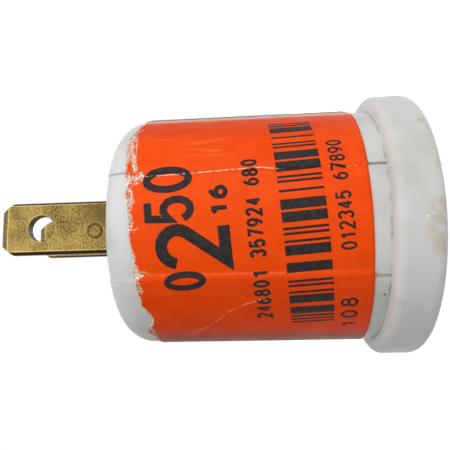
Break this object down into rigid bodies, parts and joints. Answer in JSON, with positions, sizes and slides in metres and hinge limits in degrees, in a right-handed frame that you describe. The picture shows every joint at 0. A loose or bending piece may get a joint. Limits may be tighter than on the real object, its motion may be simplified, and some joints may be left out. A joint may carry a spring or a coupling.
{
  "type": "lamp socket adapter",
  "caption": "Plug-in adapter: two flat blades on a round moulded housing, with a medium screw lamp socket in its other end and a worn price label round its side.",
  "frame": {"origin": "centre of the socket's open rim, in the plane that it stands on", "axes": "+Z along the round housing towards the blade tips; -Y is the side of the wide blade, and the label and its panel face 5 degrees off it towards -X"},
  "size_m": [0.0398, 0.0398, 0.0622],
  "materials": {
    "moulded_white": "slightly glossy moulded plastic with grey handling marks",
    "blade_brass": "dull scratched brass",
    "shell_brass": "rolled thin brass, bright",
    "contact_bronze": "spring bronze",
    "fibre": "pressed red-brown fibre",
    "screw_steel": "plated steel",
    "label_paper": "coated orange paper, creased and torn",
    "label_ink": "flat printed ink"
  },
  "bodies": {
    "root": {"housing": "moulded_white", "neutral_blade": "blade_brass", "line_blade": "blade_brass", "screw_shell": "shell_brass", "insulating_disc": "fibre", "centre_contact": "contact_bronze", "contact_rivet": "contact_bronze", "neutral_screw": "screw_steel", "clamp_screw": "screw_steel", "price_label": "label_paper", "price_figures": "label_ink", "unit_figures": "label_ink", "name_figures": "label_ink", "label_bars": "label_ink", "code_figures": "label_ink", "tag_figures": "label_ink"}
  },
  "joints": []
}
